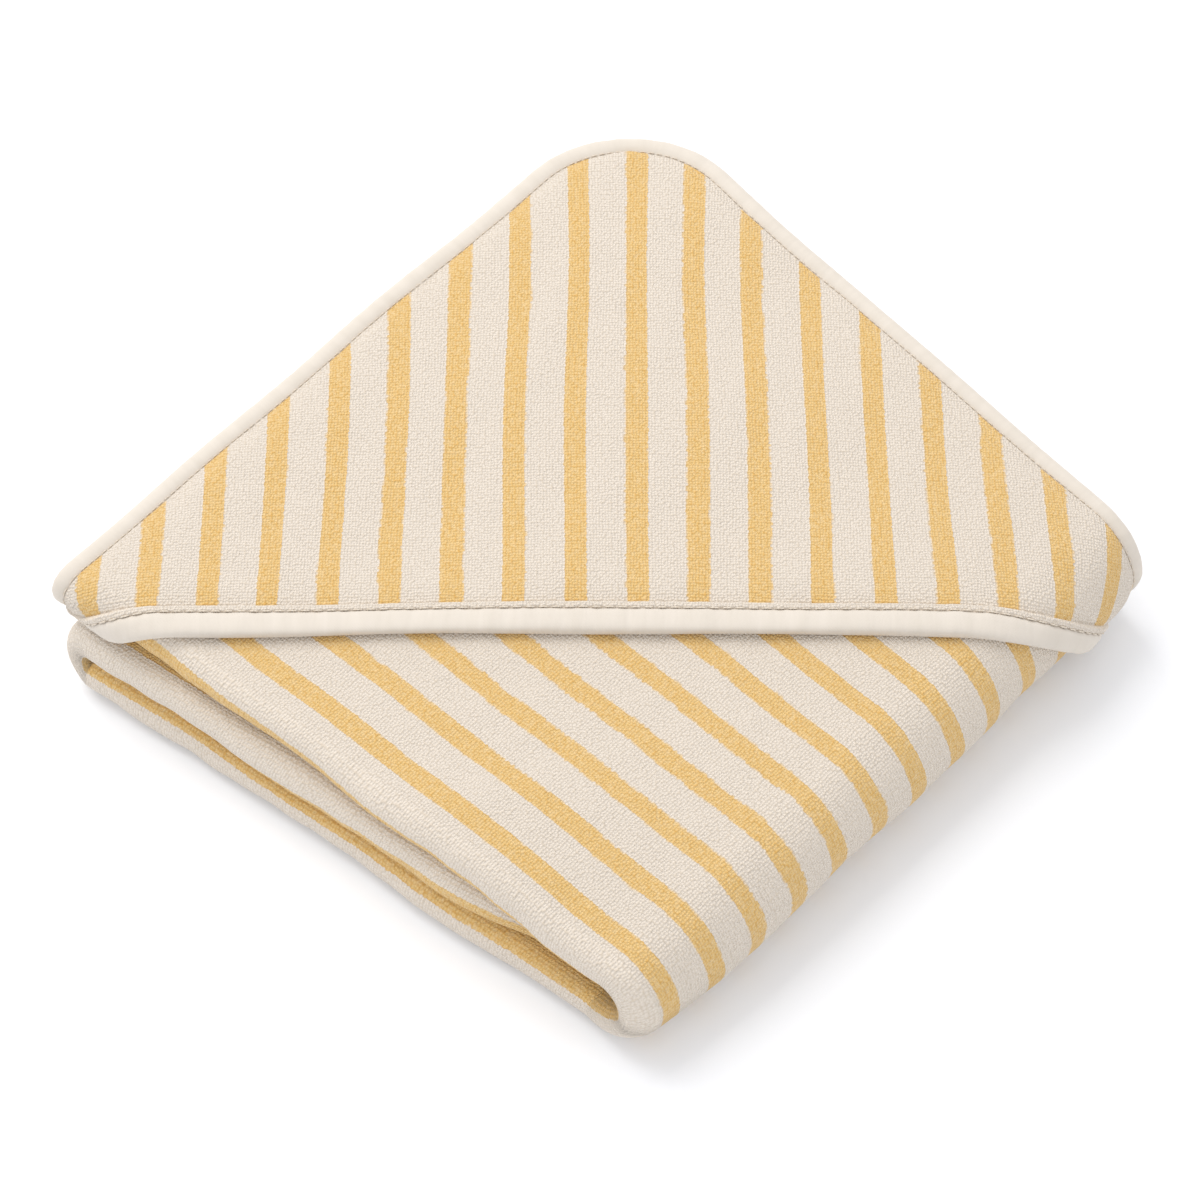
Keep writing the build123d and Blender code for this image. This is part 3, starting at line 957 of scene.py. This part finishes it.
def stitches(name, place, length, pitch, radius, material):
    """Separate stitches along a path: place(s, across, up) gives points at path length s."""
    sides = 8
    beads = np.linspace(-1, 1, 7)
    angle = np.arange(sides) / sides * 2 * pi
    points, faces, cloth = [], [], []
    for number in range(int(length / pitch)):
        centre = (number + 0.5) * pitch
        s = centre + beads * pitch * 0.39
        thick = radius * np.sqrt(np.maximum(1 - beads**4, 0.05))
        rise = radius * 0.9 * (1 - beads**2)
        across = thick[:, None] * np.cos(angle)
        up = rise[:, None] + thick[:, None] * np.sin(angle)
        ring = place(s[:, None] + 0 * across, across, up)
        base = len(points) * len(beads) * sides
        for i in range(len(beads) - 1):
            for j in range(sides):
                k = (j + 1) % sides
                here = base + i * sides
                there = here + sides
                faces.append((here + j, here + k, there + k, there + j))
        faces.append(tuple(base + j for j in range(sides))[::-1])
        faces.append(tuple(base + (len(beads) - 1) * sides + j for j in range(sides)))
        points.append(ring.reshape(-1, 3))
        cloth.append(np.stack([s[:, None] + 0 * across, across, up], axis=-1).reshape(-1, 3))
    return new_object(name, np.concatenate(points), faces, np.concatenate(cloth), material)


def edge_stitches(region, sizes, material):
    """Stitches on the edge binding of one region, near its inner side."""
    path = edge_path(region)
    inner = -TAPE / 2 + SEAM_IN
    a = path["a"] + path["side_a"] * inner
    y = path["y"] + path["side_y"] * inner
    reach = np.concatenate([[0], np.cumsum(np.hypot(np.diff(a), np.diff(y)))])
    cover = hood_cover(path["a"], path["y"])
    face = LAYER / 2 * (1 + cover * COVER_THICKER) * 0.86
    level = face + cover * (HOOD_REST + HOOD_LAYER) * COVER_RISE - SEAM_SINK

    def place(s, across, up):
        at_a = np.interp(s, reach, a) + np.interp(s, reach, path["side_a"]) * across
        at_y = np.interp(s, reach, y) + np.interp(s, reach, path["side_y"]) * across
        return fold(at_a, HALF_Y - at_y, np.interp(s, reach, level) + up)

    return stitches(
        f"edge_stitches_{region}", place, reach[-1], MM * sizes.stitch, MM * sizes.thread / 2, material
    )


def rim_stitches(side, sizes, material):
    """Stitches in the groove in front of the rim's ridge."""
    sign = -1 if side == "left" else 1
    level = HOOD_LAYER / 2 - 0.1

    def place(s, across, up):
        return hood_fold(RIM_P + RIM_RIDGE - 0.2 + across, CORNER_Q + sign * s, level + up)

    reach = RIM_P - CORNER_P - 4
    radius = MM * sizes.thread * 0.6
    return stitches(f"rim_stitches_{side}", place, reach, MM * sizes.rim_stitch, radius, material)


class TOWEL_OT_seams(bpy.types.Operator):
    """Sew the edge binding and the hood's rim, stitch by stitch"""

    bl_idname = "towel.seams"
    bl_label = "Seams"

    def execute(self, context):
        scene = context.scene
        sizes = scene.towel_sizes
        material = finish_named(spun_thread, scene.towel_colours)
        for region in REGIONS:
            piece = edge_stitches(region, sizes, material)
            follow(piece, region)
            if region == "top":
                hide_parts("edge_seam")
        for side in ("left", "right"):
            piece = rim_stitches(side, sizes, material)
            follow_hood(piece)
            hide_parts("hood_rim_seam")
        return {"FINISHED"}


# Stage

AIM = Vector((2.0, -2.3, 20.0)) / MM
CAMERA_DISTANCE = 1.135
CAMERA_AZIMUTH = radians(45)
CAMERA_ELEVATION = radians(61)


def area_light(name, place, size, energy, colour):
    """Soft square light that faces the towel."""
    data = bpy.data.lights.new(name, "AREA")
    data.size = size
    data.energy = energy
    data.color = linear(colour)[:3]
    light = bpy.data.objects.new(name, data)
    light.location = place
    light.rotation_euler = (AIM - Vector(place)).to_track_quat("-Z", "Y").to_euler()
    bpy.context.scene.collection.objects.link(light)


class TOWEL_OT_stage(bpy.types.Operator):
    """Set up the pale floor, the soft light and the camera"""

    bl_idname = "towel.stage"
    bl_label = "Stage"

    def execute(self, context):
        scene = context.scene
        mesh = bpy.data.meshes.new("floor")
        half = 4.0
        corners = [(-half, -half, 0), (half, -half, 0), (half, half, 0), (-half, half, 0)]
        mesh.from_pydata(corners, [], [(0, 1, 2, 3)])
        floor = bpy.data.objects.new("floor", mesh)
        mesh.materials.append(finish_named(paper_sweep, scene.towel_colours))
        scene.collection.objects.link(floor)

        world = bpy.data.worlds.new("soft white room")
        world.use_nodes = True
        world.node_tree.nodes["Background"].inputs["Color"].default_value = linear("#FBFCFF")
        world.node_tree.nodes["Background"].inputs["Strength"].default_value = 0.97
        scene.world = world
        area_light("window_light", (-1.1, 0.1, 1.6), 1.3, 20.0, "#FFFCF8")
        scene.view_settings.view_transform = "Standard"

        data = bpy.data.cameras.new("camera")
        data.lens = 110.0
        data.sensor_width = 36.0
        camera = bpy.data.objects.new("camera", data)
        away = Vector(
            (
                sin(CAMERA_AZIMUTH) * cos(CAMERA_ELEVATION),
                -cos(CAMERA_AZIMUTH) * cos(CAMERA_ELEVATION),
                sin(CAMERA_ELEVATION),
            )
        )
        camera.location = AIM + CAMERA_DISTANCE * away
        camera.rotation_euler = away.to_track_quat("Z", "Y").to_euler()
        scene.collection.objects.link(camera)
        scene.camera = camera
        return {"FINISHED"}


OPERATORS = [
    TOWEL_OT_stage,
    TOWEL_OT_terry,
    TOWEL_OT_hood,
    TOWEL_OT_edge_binding,
    TOWEL_OT_rim_binding,
    TOWEL_OT_seams,
]


class TOWEL_PT_pieces(bpy.types.Panel):
    """Buttons for the towel's pieces"""

    bl_idname = "TOWEL_PT_pieces"
    bl_label = "Hooded Baby Towel"
    bl_space_type = "VIEW_3D"
    bl_region_type = "UI"
    bl_category = "Towel"

    def draw(self, context):
        for operator in OPERATORS:
            self.layout.operator(operator.bl_idname)
        for group in (context.scene.towel_sizes, context.scene.towel_colours):
            for name in group.bl_rna.properties.keys():
                if name not in ("rna_type", "name"):
                    self.layout.prop(group, name)


CLASSES = [TowelSizes, TowelColours, *OPERATORS, TOWEL_PT_pieces]


def register():
    for item in CLASSES:
        bpy.utils.register_class(item)
    bpy.types.Scene.towel_sizes = bpy.props.PointerProperty(type=TowelSizes)
    bpy.types.Scene.towel_colours = bpy.props.PointerProperty(type=TowelColours)


def unregister():
    del bpy.types.Scene.towel_colours
    del bpy.types.Scene.towel_sizes
    for item in reversed(CLASSES):
        bpy.utils.unregister_class(item)


def main():
    register()
    bpy.ops.towel.stage()
    bpy.ops.towel.terry()
    bpy.ops.towel.hood()
    bpy.ops.towel.edge_binding()
    bpy.ops.towel.rim_binding()
    bpy.ops.towel.seams()


if __name__ == "__main__":
    main()
